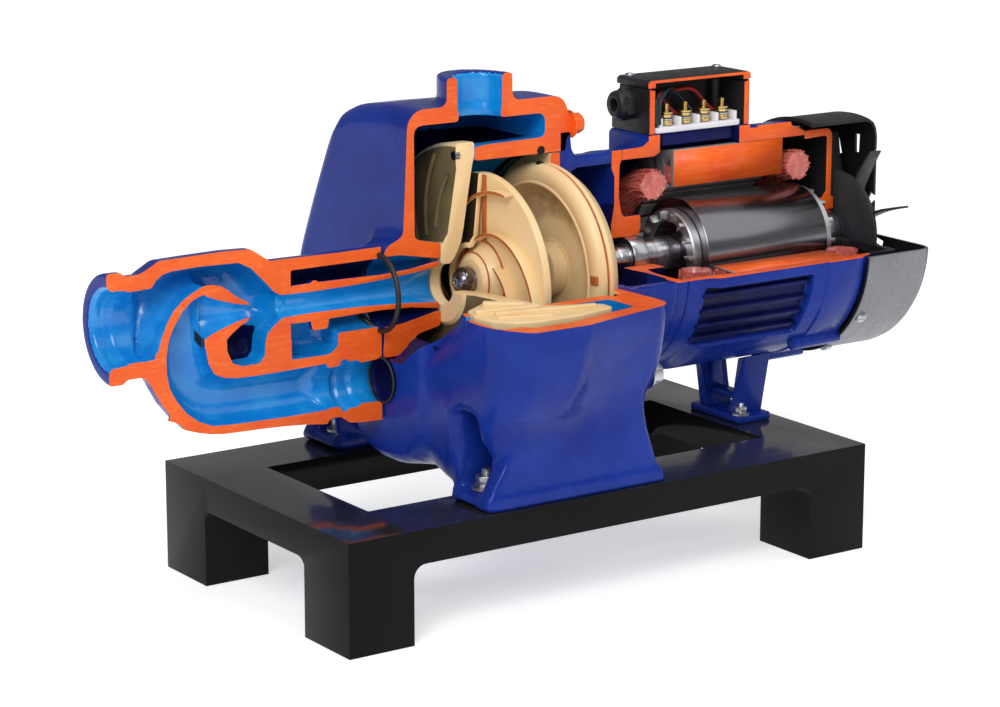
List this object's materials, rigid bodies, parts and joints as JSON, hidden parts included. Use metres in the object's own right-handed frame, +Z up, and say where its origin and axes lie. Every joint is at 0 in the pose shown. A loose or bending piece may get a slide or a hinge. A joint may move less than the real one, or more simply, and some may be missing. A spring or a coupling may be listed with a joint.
{
  "type": "sectioned self-priming jet centrifugal pump with electric motor, on a display stand",
  "caption": "Self-priming jet centrifugal pump with close-coupled electric motor, cut open to show water path and rotor, on a low four-legged stand; the shaft turns.",
  "frame": {"origin": "on the floor under the middle of the unit's overall length and width, the shaft axis 208 mm above it", "axes": "+X along the shaft from the suction flange towards the fan, +Y away from the cut side, +Z up"},
  "size_m": [0.634, 0.284, 0.35],
  "materials": {
    "casing_blue": "gloss enamel",
    "impeller_cream": "satin enamel",
    "stand_black": "high gloss",
    "bright_steel": "turned and ground",
    "core_steel": "stacked sheet",
    "winding_red": "varnished",
    "cover_grey": "satin",
    "black_plastic": "moulded",
    "board_white": "moulded",
    "post_brass": "bright",
    "seal_rubber": "matt"
  },
  "bodies": {
    "static_unit": {"pump_casing": "casing_blue", "ejector_body": "casing_blue", "ejector_nozzle": "casing_blue", "venturi_tube": "casing_blue", "joint_o_ring": "seal_rubber", "volute_liner": "impeller_cream", "diffuser": "impeller_cream", "seal_plate": "impeller_cream", "motor_bracket": "casing_blue", "front_shield": "casing_blue", "motor_frame": "casing_blue", "motor_foot": "casing_blue", "stator_core": "core_steel", "winding_front": "winding_red", "winding_rear": "winding_red", "bearing_front": "bright_steel", "bearing_rear": "bright_steel", "rear_shield": "black_plastic", "fan_cover": "cover_grey", "terminal_box": "black_plastic", "terminal_lid": "black_plastic", "terminal_board": "board_white", "cable_gland": "black_plastic", "stand_front_rail": "stand_black", "stand_rear_rail": "stand_black", "stand_left_rail": "stand_black", "stand_right_rail": "stand_black", "leg_front_left": "stand_black", "leg_front_right": "stand_black", "leg_rear_left": "stand_black", "leg_rear_right": "stand_black", "terminal_post_1": "post_brass", "terminal_post_2": "post_brass", "terminal_post_3": "post_brass", "terminal_post_4": "post_brass"},
    "rotor": {"shaft": "bright_steel", "impeller": "impeller_cream", "impeller_nut": "bright_steel", "mechanical_seal": "bright_steel", "rotor_core": "bright_steel", "fan": "black_plastic"}
  },
  "joints": [
    {"name": "shaft_spin", "type": "hinge", "parent": "static_unit", "child": "rotor", "pos_m": [0, 0, 0.208], "axis": [1, 0, 0], "continuous": true}
  ]
}
